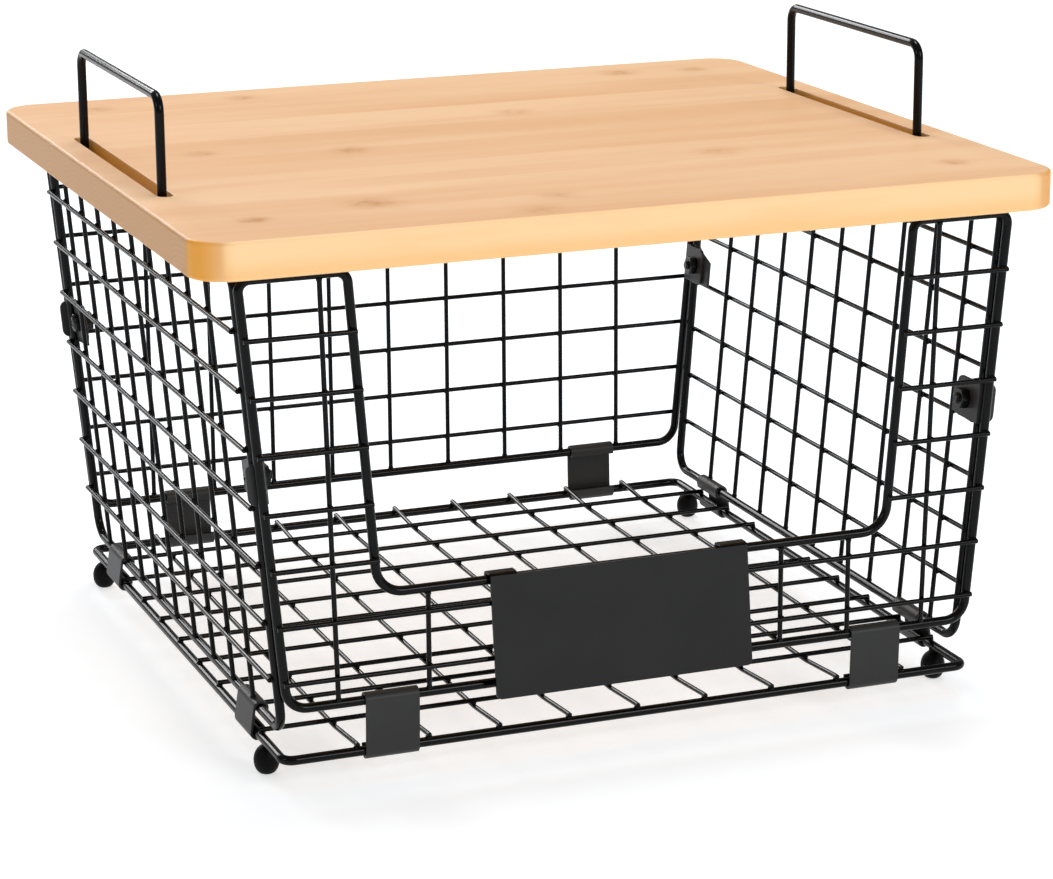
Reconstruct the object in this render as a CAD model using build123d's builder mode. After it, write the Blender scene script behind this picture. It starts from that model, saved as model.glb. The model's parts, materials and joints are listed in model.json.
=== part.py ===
from build123d import *
import math
import os

# Pantry storage bin: a welded wire basket with a low front, and a wooden lid board that lifts off
# over two wire handles. Millimetres. X runs to the right, Y to the back, and Z up from the floor
# under the feet, with the origin in the middle of the base.

# Wire and sheet
frame_wire = 3.4  # diameter of the outline wires, the base frame and the handles
mesh_wire = 1.8  # diameter of the thin grid wires
sheet = 1.2  # thickness of the corner plates
clip_sheet = 1.0  # thickness of the clips and the name plate
weld_gap = 0.05  # left between two pieces that are welded or screwed together
foot_bend = 8.0  # centre-line radius at the lower corners of a panel outline
crown_bend = 4.0  # centre-line radius at its upper corners

# Base grid, which sets the size of the whole basket
base_cell = 26.3
base_cells = 10
base_height = 12.2  # centre of the base frame wire above the floor
base_bend = 4.0
wire_reach = 0.8  # how far a grid wire's end stands past the centre of the wire it is welded on

# Panels: heights are those of wire centres above the floor
panel_top = 182.2
side_foot = 20.9  # bottom wires of the left and right panels
end_foot = 30.9  # bottom wires of the front and back panels
side_inset = 1.3  # side panels stand this far inside the base frame at their feet
end_outset = 0.7  # front and back panels stand this far outside it
side_flare = 13.4  # how far each side panel leans out over its height
end_foot_inset = 1.0  # front and back posts start this far inside the side panels' planes
post_gap_foot = 6.4  # side post to front or back post along the side panel, at the foot
post_gap_top = 4.8
side_pitch = 20.6
end_pitch = 20.2
side_cell = 25.0
side_shift = -5.0
back_cell = 26.0
back_shift = 1.0
front_cell = 26.8
front_shift = 1.5
side_row_top = 164.5
front_row_top = 162.0
back_row_top = 164.7

# Cut-out in the front panel
cut_foot = 68.7
cut_foot_half = 96.8
cut_top_half = 105.6
cut_bend = 10.0
stile_step_foot = 15.2  # single upright wire beside the cut-out, outwards from its side
stile_step_top = 9.9

# Handles and lid board
handle_half = 54.9  # leg centre from the middle
handle_top = 231.2
handle_bend = 5.5
handle_drop = 6.0  # how far a leg runs below the panel's top wire
board_thickness = 13.4
board_side_overhang = 16.4
board_end_overhang = 10.8
board_corner = 14.0
board_edge_round = 1.4
lid_gap = 0.3
slot_clearance = 1.15
slot_end_clearance = 5.4

# Sheet clips that hold the panels to the base frame
clip_width = 19.6
clip_hem_gap = 0.15
clip_return = 2.0  # how far a hem comes back past the wire's centre
clip_space = 0.1
front_clip = 92.9
back_clip = 90.6
side_clip = 91.0

# Corner joints
joint_height = 111.5
joint_inset = 5.6  # screw centre from the side post's centre
plate_height = 17.0  # along the post
plate_length = 15.6
plate_fall = 5.5  # how far the plate's top edge falls towards its far end
plate_rise = 1.2  # how far its lower edge rises
bracket_gap = 0.2
bracket_height = 15.0
bracket_width = 7.0
bracket_reach = 7.0  # from the screw's centre to the end of the bracket's side leg
bracket_round = 3.0
screw = 4.0
screw_hole = 4.4
screw_head = 7.6
screw_head_height = 2.6
screw_head_rim = 1.0
screw_spare = 1.2  # thread that stands past the nut
nut_flats = 7.0
nut_height = 3.2
nut_bore = 4.15

# Rubber feet: balls with a neck that grips the base frame from below
foot_ball = 4.6  # radius
foot_flat = 1.5  # radius of the flat that stands on the floor
foot_neck = 2.9
foot_grip = 1.3  # how far the neck reaches up round the wire
foot_inset = 0.5  # foot's centre inside the wire's centre
foot_front = 108.5
foot_back = 118.5

# Name plate
plate_left = -57.0
plate_right = 40.5
name_plate_height = 43.6
name_plate_rise = 2.2  # top edge of the plate above the wire's centre
name_plate_lean = 7.4  # degrees that its lower edge stands forward
name_plate_round = 2.0
hook_width = 10.0
hook_gap = 0.3
hook_depth = 2.0
hook_bend = 1.6

frame_radius = frame_wire / 2
mesh_radius = mesh_wire / 2
base_half = base_cell * base_cells / 2
side_foot_half = base_half - side_inset
side_top_half = side_foot_half + side_flare
end_plane = base_half + end_outset
side_post_foot = end_plane - post_gap_foot
side_post_top = end_plane - post_gap_top
side_lean = math.atan2(side_flare, panel_top - side_foot)
side_length = (panel_top - side_foot) / math.cos(side_lean)
end_length = panel_top - end_foot
end_foot_half = side_foot_half + (end_foot - side_foot) * math.tan(side_lean) - end_foot_inset
upright_offset = frame_radius - mesh_radius
row_offset = frame_radius + mesh_radius + weld_gap
upright_end = frame_radius + weld_gap
hem_radius = frame_radius + clip_hem_gap
clip_radius = hem_radius + clip_sheet
handle_x = side_top_half + frame_wire + weld_gap
board_bottom = panel_top + frame_radius + lid_gap
board_half_width = side_top_half + board_side_overhang
board_half_depth = end_plane + board_end_overhang
plate_face = -(frame_radius - sheet + bracket_gap)
bracket_face = plate_face - sheet - weld_gap

outward = Vector(math.cos(side_lean), 0, -math.sin(side_lean))
right_plane = Plane(origin=(side_foot_half, 0, side_foot), x_dir=(0, 1, 0), z_dir=outward)
left_plane = Plane(
    origin=(-side_foot_half, 0, side_foot), x_dir=(0, -1, 0), z_dir=(-outward.X, 0, outward.Z)
)
front_plane = Plane(origin=(0, -end_plane, end_foot), x_dir=(1, 0, 0), z_dir=(0, -1, 0))
back_plane = Plane(origin=(0, end_plane, end_foot), x_dir=(-1, 0, 0), z_dir=(0, 1, 0))

os.makedirs("parts", exist_ok=True)


def save(piece, name):
    """Label a finished piece and write it under its own name."""
    piece.part.label = name
    export_step(piece.part, f"parts/{name}.step")


def side_x(height):
    """Distance of the side panels' plane from the middle at a height above the floor."""
    return side_foot_half + (height - side_foot) * math.tan(side_lean)


def end_post(height):
    """Distance of a front or back post from the middle at a height above the floor."""
    share = (height - end_foot) / end_length
    return end_foot_half + (side_top_half - end_foot_half) * share


def side_post(along):
    """Distance of a side post from the middle, at a length up the panel from its bottom wire."""
    return side_post_foot + (side_post_top - side_post_foot) * along / side_length


def up_side(height):
    """Length up a leaning side panel that ends at a height above the floor."""
    return (height - side_foot) / math.cos(side_lean)


def bent_wire(plane, corners, bends, closed):
    """Round wire bent along the corners of a path drawn in one plane."""
    with BuildLine(plane):
        path = FilletPolyline(*corners, radius=bends, close=closed)
    with BuildSketch(Plane(origin=path @ 0, z_dir=path % 0)) as section:
        Circle(frame_radius)
    sweep(section.sketch, path=path)


def grid_wire(plane, start, end):
    """Straight thin wire between two points given as along, up and outward from a plane."""
    first, last = (plane.from_local_coords(Vector(*point)) for point in (start, end))
    with BuildSketch(Plane(origin=first, z_dir=last - first)) as section:
        Circle(mesh_radius)
    extrude(section.sketch, amount=(last - first).length)


def on_clip(position, clips):
    """Whether a grid wire at this place would land on one of the clips."""
    reach = clip_width / 2 + mesh_radius + clip_space
    return any(abs(position - clip) < reach for clip in clips)


def rows_below(top, pitch, foot):
    """Heights of the rows, spaced down from the top one while they clear the bottom wire."""
    count = int((top - foot - frame_wire - mesh_wire) / pitch) + 1
    return [top - pitch * step for step in range(count)]


def places(cell, shift, reach):
    """Places of the uprights, spaced both ways from the shifted middle as far as they reach."""
    steps = int((reach - abs(shift)) / cell)
    return [shift + cell * step for step in range(-steps, steps + 1)]


def upright_foot(position, clips):
    """Where an upright starts: on the bottom wire, or on the hem of a clip that covers it."""
    return clip_radius + weld_gap if on_clip(position, clips) else upright_end


# Base frame: one closed wire with rounded corners
with BuildPart() as base_frame:
    bent_wire(
        Plane.XY.offset(base_height),
        [(-base_half, -base_half), (base_half, -base_half), (base_half, base_half), (-base_half, base_half)],
        base_bend,
        True,
    )
save(base_frame, "base_frame")

# Width wires lie straight across the frame, on top of its side wires
grid_height = base_height + frame_radius + mesh_radius + weld_gap
base_plane = Plane.XY.offset(grid_height)
base_end = base_half + wire_reach
base_short = base_half - clip_radius - weld_gap
base_steps = range(-(base_cells // 2 - 1), base_cells // 2)
with BuildPart() as base_width_wires:
    for step in base_steps:
        y = step * base_cell
        side_end = base_short if on_clip(y, (-side_clip, side_clip)) else base_end
        grid_wire(base_plane, (-side_end, y, 0), (side_end, y, 0))
save(base_width_wires, "base_width_wires")

# Depth wires run under the width wires and rise at both ends onto the front and back wires
crossing_drop = mesh_wire + weld_gap
crossing_end = base_cell * base_steps[-1] + mesh_wire
landing_end = base_half - 2 * frame_wire
with BuildPart() as base_depth_wires:
    for step in base_steps:
        x = step * base_cell
        front_end = base_short if on_clip(x, (-front_clip, front_clip)) else base_end
        back_end = base_short if on_clip(x, (-back_clip, back_clip)) else base_end
        with BuildLine(Plane(origin=(x, 0, grid_height), x_dir=(0, 1, 0), z_dir=(1, 0, 0))):
            raised = Polyline(
                (-front_end, 0),
                (-landing_end, 0),
                (-crossing_end, -crossing_drop),
                (crossing_end, -crossing_drop),
                (landing_end, 0),
                (back_end, 0),
            )
        with BuildSketch(Plane(origin=raised @ 0, z_dir=raised % 0)):
            Circle(mesh_radius)
        sweep(path=raised, transition=Transition.RIGHT)
save(base_depth_wires, "base_depth_wires")

# Side panels: the same part on both sides, turned round
for side, plane in (("left", left_plane), ("right", right_plane)):
    with BuildPart() as side_frame:
        bent_wire(
            plane,
            [
                (-side_post_foot, 0),
                (side_post_foot, 0),
                (side_post_top, side_length),
                (-side_post_top, side_length),
            ],
            [foot_bend, foot_bend, crown_bend, crown_bend],
            True,
        )
    save(side_frame, f"{side}_frame")

    with BuildPart() as side_mesh:
        for u in places(side_cell, side_shift, side_post_foot - foot_bend):
            foot = upright_foot(u, (-side_clip, side_clip))
            grid_wire(plane, (u, foot, upright_offset), (u, side_length - upright_end, upright_offset))
        for height in rows_below(side_row_top, side_pitch, side_foot):
            v = up_side(height)
            end = side_post(v) + wire_reach
            grid_wire(plane, (-end, v, row_offset), (end, v, row_offset))
    save(side_mesh, f"{side}_mesh")

# Back panel: its posts lean out with the side panels
with BuildPart() as back_frame:
    bent_wire(
        back_plane,
        [
            (-end_foot_half, 0),
            (end_foot_half, 0),
            (side_top_half, end_length),
            (-side_top_half, end_length),
        ],
        [foot_bend, foot_bend, crown_bend, crown_bend],
        True,
    )
save(back_frame, "back_frame")

with BuildPart() as back_mesh:
    for u in places(back_cell, back_shift, end_foot_half - foot_bend):
        foot = upright_foot(u, (-back_clip, back_clip))
        grid_wire(back_plane, (u, foot, upright_offset), (u, end_length - upright_end, upright_offset))
    for height in rows_below(back_row_top, end_pitch, end_foot):
        end = end_post(height) + wire_reach
        v = height - end_foot
        grid_wire(back_plane, (-end, v, row_offset), (end, v, row_offset))
save(back_mesh, "back_mesh")

# Front panel: one closed wire that dips round the cut-out
cut_depth = cut_foot - end_foot
with BuildPart() as front_frame:
    bent_wire(
        front_plane,
        [
            (-end_foot_half, 0),
            (end_foot_half, 0),
            (side_top_half, end_length),
            (cut_top_half, end_length),
            (cut_foot_half, cut_depth),
            (-cut_foot_half, cut_depth),
            (-cut_top_half, end_length),
            (-side_top_half, end_length),
        ],
        [foot_bend, foot_bend, crown_bend, crown_bend, cut_bend, cut_bend, crown_bend, crown_bend],
        True,
    )
save(front_frame, "front_frame")

front_rows = rows_below(front_row_top, end_pitch, end_foot)
lower_rows = [height for height in front_rows if height < cut_foot - frame_radius - mesh_radius]
upper_rows = [height for height in front_rows if height > cut_foot + frame_radius + mesh_radius]
with BuildPart() as front_lower_mesh:
    for u in places(front_cell, front_shift, cut_foot_half - cut_bend):
        foot = upright_foot(u, (-front_clip, front_clip))
        grid_wire(front_plane, (u, foot, upright_offset), (u, cut_depth - upright_end, upright_offset))
    for height in lower_rows:
        end = end_post(height) + wire_reach
        v = height - end_foot
        grid_wire(front_plane, (-end, v, row_offset), (end, v, row_offset))
save(front_lower_mesh, "front_lower_mesh")

for side, sign in (("left", -1), ("right", 1)):
    with BuildPart() as front_side_mesh:
        stile_foot = cut_foot_half + stile_step_foot
        stile_top = cut_top_half + stile_step_top
        grid_wire(
            front_plane,
            (sign * stile_foot, upright_end, upright_offset),
            (sign * stile_top, end_length - upright_end, upright_offset),
        )
        for height in upper_rows:
            v = height - end_foot
            share = (v - cut_depth) / (end_length - cut_depth)
            inner = cut_foot_half + (cut_top_half - cut_foot_half) * share - wire_reach
            outer = end_post(height) + wire_reach
            grid_wire(front_plane, (sign * inner, v, row_offset), (sign * outer, v, row_offset))
    save(front_side_mesh, f"front_{side}_mesh")

# Handles: each a bent wire welded outside a side panel's top wire
for side, sign in (("left", -1), ("right", 1)):
    with BuildPart() as handle:
        handle_foot = panel_top - handle_drop
        bent_wire(
            Plane(origin=(sign * handle_x, 0, 0), x_dir=(0, 1, 0), z_dir=(1, 0, 0)),
            [
                (-handle_half, handle_foot),
                (-handle_half, handle_top),
                (handle_half, handle_top),
                (handle_half, handle_foot),
            ],
            handle_bend,
            False,
        )
    save(handle, f"{side}_handle")

# Lid board: rounded corners, softened edges and a slot for each handle
with BuildPart() as lid_board:
    with BuildSketch(Plane.XY.offset(board_bottom)):
        RectangleRounded(2 * board_half_width, 2 * board_half_depth, board_corner)
    extrude(amount=board_thickness)
    flat_faces = lid_board.faces().filter_by(Axis.Z)
    fillet(flat_faces.edges(), board_edge_round)
    with BuildSketch(Plane.XY.offset(board_bottom)):
        with Locations((-handle_x, 0), (handle_x, 0)):
            SlotOverall(
                2 * (handle_half + frame_radius + slot_end_clearance),
                frame_wire + 2 * slot_clearance,
                rotation=90,
            )
    extrude(amount=board_thickness, mode=Mode.SUBTRACT)
save(lid_board, "lid_board")


def clip_profile(panel_wire, base_wire, inner):
    """Section of a clip: a web outside two wires, with a hem closed round each of them."""
    span = Vector(*panel_wire) - Vector(*base_wire)
    middle = (Vector(*panel_wire) + Vector(*base_wire)) / 2
    lean = math.degrees(math.atan2(span.Y, span.X))
    with Locations((middle.X, middle.Y)):
        SlotCenterToCenter(span.length, 2 * clip_radius, rotation=lean)
        SlotCenterToCenter(span.length, 2 * hem_radius, rotation=lean, mode=Mode.SUBTRACT)
    with Locations(Location((middle.X, middle.Y, 0), (0, 0, lean))):
        with Locations((0, inner * clip_radius)):
            Rectangle(span.length - 2 * clip_return, 2 * clip_radius, mode=Mode.SUBTRACT)


# Clips: two to a panel. Profiles are drawn across the wires and drawn out to the clip's width.
for end, sign, place in (("front", -1, front_clip), ("back", 1, back_clip)):
    for side, hand in (("left", -1), ("right", 1)):
        with BuildPart() as clip:
            edge = hand * place - clip_width / 2
            with BuildSketch(Plane(origin=(edge, 0, 0), x_dir=(0, 1, 0), z_dir=(1, 0, 0))):
                clip_profile((sign * end_plane, end_foot), (sign * base_half, base_height), sign)
            extrude(amount=clip_width)
        save(clip, f"{end}_{side}_clip")
for side, sign in (("left", -1), ("right", 1)):
    for end, hand in (("front", -1), ("back", 1)):
        with BuildPart() as clip:
            edge = hand * side_clip + clip_width / 2
            with BuildSketch(Plane(origin=(0, edge, 0), x_dir=(1, 0, 0), z_dir=(0, -1, 0))):
                clip_profile((sign * side_foot_half, side_foot), (sign * base_half, base_height), sign)
            extrude(amount=clip_width)
        save(clip, f"{side}_{end}_clip")

# Corner joints: a plate welded to the side post, a bracket welded inside the front or back post,
# and a screw with its nut through both
joint_up = up_side(joint_height)
plate_reach = math.sqrt(frame_radius**2 - plate_face**2) + weld_gap
screw_from_middle = side_post(joint_up) - joint_inset
face_outer = end_plane - frame_radius - weld_gap
corners = (
    ("front_left", left_plane, 1),
    ("front_right", right_plane, -1),
    ("back_left", left_plane, -1),
    ("back_right", right_plane, 1),
)
for corner, plane, hand in corners:
    with BuildPart() as corner_plate:
        low = joint_up - plate_height / 2
        high = joint_up + plate_height / 2
        post_low = side_post(low) - plate_reach
        post_high = side_post(high) - plate_reach
        far = side_post(joint_up) - plate_reach - plate_length
        with BuildSketch(plane.offset(plate_face - sheet)):
            with BuildLine():
                Polyline(
                    (hand * post_low, low),
                    (hand * post_high, high),
                    (hand * far, high - plate_fall),
                    (hand * far, low + plate_rise),
                    close=True,
                )
            make_face()
            with Locations((hand * screw_from_middle, joint_up)):
                Circle(screw_hole / 2, mode=Mode.SUBTRACT)
        extrude(amount=sheet)
    save(corner_plate, f"{corner}_plate")

    with BuildPart() as corner_bracket:
        leg_inner = bracket_face - sheet
        leg_far = screw_from_middle - bracket_reach
        foot_point = plane.from_local_coords(Vector(0, joint_up - bracket_height / 2, 0))
        with BuildSketch(Plane(origin=foot_point, x_dir=plane.x_dir, z_dir=plane.y_dir)):
            with BuildLine():
                Polyline(
                    (hand * leg_far, -bracket_face),
                    (hand * (face_outer - sheet), -bracket_face),
                    (hand * (face_outer - sheet), -(leg_inner + bracket_width)),
                    (hand * face_outer, -(leg_inner + bracket_width)),
                    (hand * face_outer, -leg_inner),
                    (hand * leg_far, -leg_inner),
                    close=True,
                )
            make_face()
        extrude(amount=bracket_height)
        far_edges = corner_bracket.edges().filter_by(Axis(plane.origin, plane.z_dir))
        fillet(far_edges.sort_by(Axis((0, 0, 0), plane.x_dir * hand))[:2], bracket_round)
        post_edges = corner_bracket.edges().filter_by(Axis.Y)
        fillet(post_edges.sort_by(Axis(plane.origin, plane.z_dir))[-2:], bracket_round)
        with BuildSketch(plane.offset(leg_inner)):
            with Locations((hand * screw_from_middle, joint_up)):
                Circle(screw_hole / 2)
        extrude(amount=sheet, mode=Mode.SUBTRACT)
    save(corner_bracket, f"{corner}_bracket")

head_seat = plate_face + weld_gap
shank_length = 2 * sheet + nut_height + screw_spare + 3 * weld_gap
with BuildPart() as corner_screws:
    for corner, plane, hand in corners:
        seat = plane.from_local_coords(Vector(hand * screw_from_middle, joint_up, head_seat))
        with BuildSketch(Plane(origin=seat, x_dir=plane.x_dir, z_dir=plane.y_dir)):
            with BuildLine():
                Polyline(
                    (0, -screw_head_height),
                    (0, shank_length),
                    (screw / 2, shank_length),
                    (screw / 2, 0),
                    (screw_head / 2, 0),
                    (screw_head / 2, -screw_head_rim),
                )
                TangentArc(
                    (0, -screw_head_height), (screw_head / 2, -screw_head_rim), tangent=(1, 0)
                )
            make_face()
        revolve(axis=Axis(seat, plane.z_dir))
save(corner_screws, "corner_screws")

with BuildPart() as corner_nuts:
    for corner, plane, hand in corners:
        nut_seat = bracket_face - sheet - weld_gap
        seat = plane.from_local_coords(Vector(hand * screw_from_middle, joint_up, nut_seat))
        with BuildSketch(Plane(origin=seat, x_dir=plane.x_dir, z_dir=plane.z_dir)):
            RegularPolygon(nut_flats / 2, 6, major_radius=False)
            Circle(nut_bore / 2, mode=Mode.SUBTRACT)
        extrude(amount=-nut_height)
save(corner_nuts, "corner_nuts")

# Rubber feet under the frame's side wires
neck_top = base_height - frame_radius + foot_grip
ball_centre = math.sqrt(foot_ball**2 - foot_flat**2)
ball_to_neck = ball_centre + math.sqrt(foot_ball**2 - foot_neck**2)
for corner, x_sign, y in (
    ("front_left", -1, -foot_front),
    ("front_right", 1, -foot_front),
    ("back_left", -1, foot_back),
    ("back_right", 1, foot_back),
):
    with BuildPart() as foot:
        x = x_sign * (base_half - foot_inset)
        with BuildSketch(Plane(origin=(x, y, 0), x_dir=(1, 0, 0), z_dir=(0, -1, 0))):
            with BuildLine():
                Polyline((foot_neck, ball_to_neck), (foot_neck, neck_top), (0, neck_top), (0, 0), (foot_flat, 0))
                ThreePointArc((foot_flat, 0), (foot_ball, ball_centre), (foot_neck, ball_to_neck))
            make_face()
        revolve(axis=Axis((x, y, 0), (0, 0, 1)))
        with BuildSketch(Plane(origin=(x_sign * base_half, y, base_height), z_dir=(0, 1, 0))):
            Circle(frame_radius + weld_gap)
        extrude(amount=foot_ball, both=True, mode=Mode.SUBTRACT)
    save(foot, f"{corner}_foot")

# Name plate: a blank sheet that leans out from the cut-out's bottom wire over the row below it,
# with two hooks over the wire
hook_middles = (plate_left + hook_width / 2, plate_right - hook_width / 2)
plate_lean = math.radians(name_plate_lean)
plate_top = cut_foot + name_plate_rise
row_clear = row_offset + mesh_radius + hook_gap + clip_sheet / 2
hook_front = end_plane + row_clear - (plate_top - lower_rows[0]) * math.tan(plate_lean)
hook_back = end_plane - frame_radius - hook_gap - clip_sheet / 2
hook_over = cut_foot + frame_radius + hook_gap + clip_sheet / 2
with BuildPart() as name_plate:
    leaning = Plane(
        origin=(0, -hook_front, plate_top),
        x_dir=(1, 0, 0),
        z_dir=(0, -math.cos(plate_lean), math.sin(plate_lean)),
    )
    with BuildSketch(leaning):
        with Locations(((plate_left + plate_right) / 2, -name_plate_height / 2)):
            RectangleRounded(plate_right - plate_left, name_plate_height, name_plate_round)
        with Locations(*((x, -name_plate_round) for x in hook_middles)):
            Rectangle(hook_width, name_plate_round, align=(Align.CENTER, Align.MIN))
    extrude(amount=clip_sheet / 2, both=True)
    hook_start = leaning.from_local_coords(Vector(0, -name_plate_round, 0))
    hook_corner = hook_front - (hook_over - plate_top) * math.tan(plate_lean)
    for x in hook_middles:
        edge = x - hook_width / 2
        with BuildSketch(Plane(origin=(edge, 0, 0), x_dir=(0, 1, 0), z_dir=(1, 0, 0))):
            with BuildLine():
                FilletPolyline(
                    (hook_start.Y, hook_start.Z),
                    (-hook_corner, hook_over),
                    (-hook_back, hook_over),
                    (-hook_back, cut_foot - hook_depth),
                    radius=hook_bend,
                )
            trace(line_width=clip_sheet)
        extrude(amount=hook_width)
save(name_plate, "name_plate")
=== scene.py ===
"""Pantry storage bin: the finish of a welded wire basket with a wooden lid board.

Metres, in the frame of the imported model: X to the right, Y to the back, Z up from the floor.
Colours are linear.
"""

import json
import logging
import math
import random
from dataclasses import dataclass
from enum import Enum
from itertools import product

import bmesh
import bpy
from mathutils import Matrix, Vector
from mathutils.geometry import intersect_line_line

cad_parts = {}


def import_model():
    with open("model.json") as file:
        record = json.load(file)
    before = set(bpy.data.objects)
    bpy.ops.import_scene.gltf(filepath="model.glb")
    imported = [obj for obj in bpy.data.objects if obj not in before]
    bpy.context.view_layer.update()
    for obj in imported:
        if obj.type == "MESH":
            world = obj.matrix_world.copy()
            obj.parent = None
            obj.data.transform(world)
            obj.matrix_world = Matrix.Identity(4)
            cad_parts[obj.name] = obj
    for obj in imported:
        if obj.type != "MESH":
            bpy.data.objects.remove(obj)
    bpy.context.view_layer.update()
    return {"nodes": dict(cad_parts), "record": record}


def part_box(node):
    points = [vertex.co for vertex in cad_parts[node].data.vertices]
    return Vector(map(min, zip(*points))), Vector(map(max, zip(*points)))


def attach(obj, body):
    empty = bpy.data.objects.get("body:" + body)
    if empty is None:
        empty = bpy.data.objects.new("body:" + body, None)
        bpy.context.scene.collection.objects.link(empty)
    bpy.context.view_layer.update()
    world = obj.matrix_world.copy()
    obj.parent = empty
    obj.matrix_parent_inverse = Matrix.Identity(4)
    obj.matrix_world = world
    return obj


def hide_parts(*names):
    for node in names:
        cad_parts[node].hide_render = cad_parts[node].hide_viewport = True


log = logging.getLogger("storage_bin")

Socket = bpy.types.NodeSocket
Colour = tuple[float, float, float, float]
Value = Socket | float | Colour
Axes = tuple[Socket, Socket, Socket]
Pair = tuple[float, float]
Place = tuple[float, float, float]

WHITE: Colour = (1.0, 1.0, 1.0, 1.0)

# Radii of the grids' thin wires and of the outline wires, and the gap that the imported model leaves
# between wires that are welded together.
THIN_WIRE = 0.0009
FRAME_WIRE = 0.0017
WELD_GAP = 0.00005

BEAD_SIDES = 8
BEAD_RINGS = 5
SPIN_STEPS = 40


class Body(str, Enum):
    """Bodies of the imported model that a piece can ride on."""

    BASKET = "basket"
    LID = "lid"
    LABEL = "label"


class Slot(str, Enum):
    """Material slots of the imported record."""

    WIRE = "wire_enamel"
    SHEET = "sheet_enamel"
    PLATE = "plate_enamel"
    FASTENER = "fastener_black"
    RUBBER = "foot_rubber"
    WOOD = "board_wood"


@dataclass(frozen=True)
class Noise:
    """A noise texture's scale, detail and roughness."""

    scale: float
    detail: float = 2.0
    rough: float = 0.5


@dataclass(frozen=True)
class Band:
    """Two limits between which a ramp climbs smoothly from 0 to its height."""

    low: float
    high: float
    height: float = 1.0


class NodeTree:
    """Short calls that build one material's node tree."""

    MIX_INPUTS = (0, 6, 7)
    MIX_RESULT = 2

    def __init__(self, name: str) -> None:
        """Start a material that holds one Principled shader.

        Args:
            name: The material's name.
        """
        self.material = bpy.data.materials.new(name)
        self.material.use_nodes = True
        self.tree = self.material.node_tree
        self.shader = self.tree.nodes["Principled BSDF"]
        self.place = self.add("ShaderNodeTexCoord").outputs["Object"]

    def add(
        self, kind: str, inputs: dict[str | int, Value] | None = None, **settings: str
    ) -> bpy.types.Node:
        """Add a node.

        Args:
            kind: Blender's name for the node's type.
            inputs: Socket name or number to a constant or to another node's output.
            settings: Node properties to set.

        Returns:
            The new node.
        """
        node = self.tree.nodes.new(kind)
        for key, value in settings.items():
            setattr(node, key, value)
        for key, value in (inputs or {}).items():
            if isinstance(value, Socket):
                self.tree.links.new(value, node.inputs[key])
            else:
                node.inputs[key].default_value = value
        return node

    def math(self, operation: str, *values: Value) -> Socket:
        """Add a Math node and return its result."""
        return self.add("ShaderNodeMath", dict(enumerate(values)), operation=operation).outputs[0]

    def plus(self, first: Value, second: Value) -> Socket:
        """Add two numbers."""
        return self.math("ADD", first, second)

    def minus(self, first: Value, second: Value) -> Socket:
        """Take the second number from the first."""
        return self.math("SUBTRACT", first, second)

    def times(self, first: Value, second: Value) -> Socket:
        """Multiply two numbers."""
        return self.math("MULTIPLY", first, second)

    def over(self, first: Value, second: Value) -> Socket:
        """Divide the first number by the second."""
        return self.math("DIVIDE", first, second)

    def away(self, value: Value) -> Socket:
        """Drop a number's sign."""
        return self.math("ABSOLUTE", value)

    def span(self, first: Value, second: Value) -> Socket:
        """Measure the straight distance that two distances at right angles make."""
        squares = self.plus(self.math("POWER", first, 2.0), self.math("POWER", second, 2.0))
        return self.math("SQRT", squares)

    def noise(self, where: Socket, kind: Noise) -> Socket:
        """Add a noise texture and return its value."""
        inputs = {
            "Vector": where, "Scale": kind.scale, "Detail": kind.detail, "Roughness": kind.rough
        }
        return self.add("ShaderNodeTexNoise", inputs).outputs[0]

    def ramp(self, value: Value, band: Band) -> Socket:
        """Add a smooth ramp and return its value."""
        inputs = {
            "Value": value, "From Min": band.low, "From Max": band.high, "To Max": band.height
        }
        return self.add("ShaderNodeMapRange", inputs, interpolation_type="SMOOTHSTEP").outputs[0]

    def mix(self, share: Value, first: Value, second: Value, blend: str = "MIX") -> Socket:
        """Mix two colours and return the result."""
        inputs = dict(zip(self.MIX_INPUTS, (share, first, second)))
        node = self.add("ShaderNodeMix", inputs, data_type="RGBA", blend_type=blend)
        return node.outputs[self.MIX_RESULT]

    def wire(self, output: Socket, name: str) -> None:
        """Link an output to one of the shader's sockets."""
        self.tree.links.new(output, self.shader.inputs[name])

    def constant(self, name: str, value: float | Colour) -> None:
        """Set one of the shader's sockets to a constant."""
        self.shader.inputs[name].default_value = value

    def bump(self, height: Socket, depth: float) -> None:
        """Give the shader a bump.

        Args:
            height: Height of the surface, from 0 to 1.
            depth: Depth in metres that a height of 1 stands for.
        """
        inputs = {"Height": height, "Strength": 1.0, "Distance": depth}
        self.wire(self.add("ShaderNodeBump", inputs).outputs["Normal"], "Normal")


def grey_tone(grey: float, share: float, blue: float = 0.0) -> Colour:
    """Scale a grey by a share, with a little more of blue."""
    return (grey * share, grey * share, grey * (share + blue), 1.0)


@dataclass(frozen=True)
class Coating:
    """Baked black coating on steel, with the fine pebble of sprayed powder."""

    name: str
    grey: float
    roughness: float
    gloss: float
    dark: float = 0.8
    pale: float = 1.2
    blue: float = 0.01
    gloss_change: float = 0.05
    cloud: Noise = Noise(45.0, 3.0)
    pebble: Noise = Noise(1 / 0.0009, 1.0)
    pebble_depth: float = 0.000004

    def material(self) -> bpy.types.Material:
        """Build the material.

        Returns:
            The finished material.
        """
        nodes = NodeTree(self.name)
        cloud = nodes.noise(nodes.place, self.cloud)
        dark = grey_tone(self.grey, self.dark, self.blue)
        pale = grey_tone(self.grey, self.pale, self.blue)
        nodes.wire(nodes.mix(cloud, dark, pale), "Base Color")
        inputs = {
            "Value": cloud,
            "To Min": self.roughness - self.gloss_change,
            "To Max": self.roughness + self.gloss_change,
        }
        nodes.wire(nodes.add("ShaderNodeMapRange", inputs).outputs["Result"], "Roughness")
        nodes.constant("Specular IOR Level", self.gloss)
        nodes.bump(nodes.noise(nodes.place, self.pebble), self.pebble_depth)
        return nodes.material


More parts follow.
